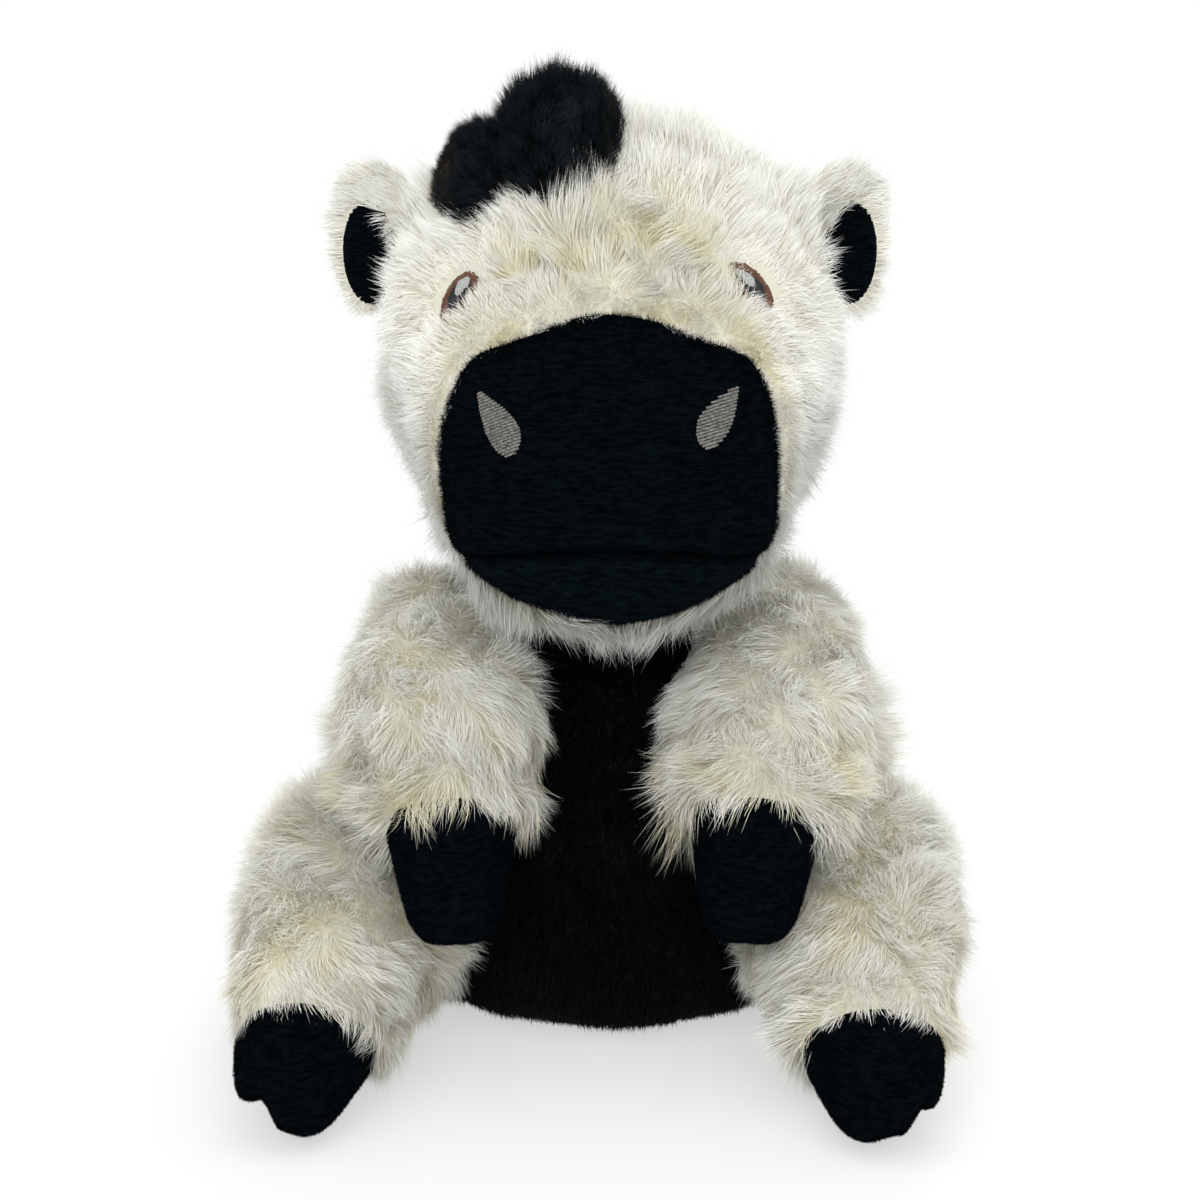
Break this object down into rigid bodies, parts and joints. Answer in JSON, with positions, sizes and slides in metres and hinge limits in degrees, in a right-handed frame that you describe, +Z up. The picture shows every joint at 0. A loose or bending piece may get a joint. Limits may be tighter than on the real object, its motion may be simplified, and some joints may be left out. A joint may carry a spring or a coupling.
{
  "type": "plush cow",
  "caption": "Seated stuffed cow toy with a head that turns and nods, sewn limbs and ears that flex, and a hanging tail.",
  "frame": {"origin": "on the floor under the middle of the seat's flat face", "axes": "+Z up, the face looks along -Y, +X is the toy's left side and the viewer's right"},
  "size_m": [0.2111, 0.2097, 0.2815],
  "materials": {
    "cream_pile": "long shaggy pile, matt",
    "black_pile": "medium pile, matt",
    "black_velour": "short pile with a fine rib, matt",
    "grey_thread": "satin stitch",
    "brown_thread": "satin stitch",
    "black_thread": "satin stitch",
    "white_thread": "satin stitch",
    "fibrefill": "loose polyester fibre",
    "pellet_cloth": "plain woven bag"
  },
  "bodies": {
    "torso": {"body_plush": "cream_pile", "belly_panel": "black_pile", "back_spot": "black_pile", "body_filling": "fibrefill", "pellet_bag": "pellet_cloth"},
    "neck": {"neck_plush": "cream_pile"},
    "head": {"head_plush": "cream_pile", "muzzle_panel": "black_velour", "chin_panel": "black_velour", "head_filling": "fibrefill", "nostril_left": "grey_thread", "nostril_right": "grey_thread", "eye_iris_left": "brown_thread", "eye_iris_right": "brown_thread", "eye_pupil_left": "black_thread", "eye_pupil_right": "black_thread", "eye_glint_left": "white_thread", "eye_glint_right": "white_thread", "crown_tuft": "black_pile"},
    "ear_l": {"ear_left": "cream_pile", "ear_lining_left": "black_velour"},
    "ear_r": {"ear_right": "cream_pile", "ear_lining_right": "black_velour"},
    "arm_l": {"arm_left_sleeve": "cream_pile", "arm_left_hoof": "black_velour", "arm_left_filling": "fibrefill"},
    "arm_r": {"arm_right_sleeve": "cream_pile", "arm_right_hoof": "black_velour", "arm_right_filling": "fibrefill"},
    "leg_l": {"leg_left_sleeve": "cream_pile", "leg_left_hoof": "black_velour", "leg_left_filling": "fibrefill"},
    "leg_r": {"leg_right_sleeve": "cream_pile", "leg_right_hoof": "black_velour", "leg_right_filling": "fibrefill"},
    "tail": {"tail_cord": "cream_pile", "tail_tuft": "black_pile"}
  },
  "joints": [
    {"name": "neck_turn", "type": "hinge", "parent": "torso", "child": "neck", "pos_m": [0, 0.004, 0.132], "axis": [0, 0, 1], "range_deg": [-15, 15], "stiffness_Nm_per_rad": 1},
    {"name": "neck_nod", "type": "hinge", "parent": "neck", "child": "head", "pos_m": [0, 0.004, 0.132], "axis": [1, 0, 0], "range_deg": [-8, 8], "stiffness_Nm_per_rad": 3},
    {"name": "shoulder_left", "type": "hinge", "parent": "torso", "child": "arm_l", "pos_m": [-0.045, 0.019, 0.126], "axis": [-0.7071, 0, -0.7071], "range_deg": [0, 20], "stiffness_Nm_per_rad": 0.08},
    {"name": "shoulder_right", "type": "hinge", "parent": "torso", "child": "arm_r", "pos_m": [0.045, 0.019, 0.126], "axis": [-0.7071, 0, 0.7071], "range_deg": [0, 20], "stiffness_Nm_per_rad": 0.08},
    {"name": "hip_left", "type": "hinge", "parent": "torso", "child": "leg_l", "pos_m": [-0.065, 0.018, 0.037], "axis": [0, 0, -1], "range_deg": [0, 15], "stiffness_Nm_per_rad": 0.08},
    {"name": "hip_right", "type": "hinge", "parent": "torso", "child": "leg_r", "pos_m": [0.065, 0.015, 0.037], "axis": [0, 0, 1], "range_deg": [0, 15], "stiffness_Nm_per_rad": 0.08},
    {"name": "ear_flex_left", "type": "hinge", "parent": "head", "child": "ear_l", "pos_m": [-0.0626, 0.006, 0.2365], "axis": [0.4134, -0.0879, 0.9063], "range_deg": [-15, 15], "stiffness_Nm_per_rad": 0.01},
    {"name": "ear_flex_right", "type": "hinge", "parent": "head", "child": "ear_r", "pos_m": [0.0626, 0.006, 0.2365], "axis": [-0.4134, -0.0879, 0.9063], "range_deg": [-15, 15], "stiffness_Nm_per_rad": 0.01},
    {"name": "tail_swing", "type": "hinge", "parent": "torso", "child": "tail", "pos_m": [0, 0.0703, 0.04899], "axis": [1, 0, 0], "range_deg": [0, 50]}
  ]
}
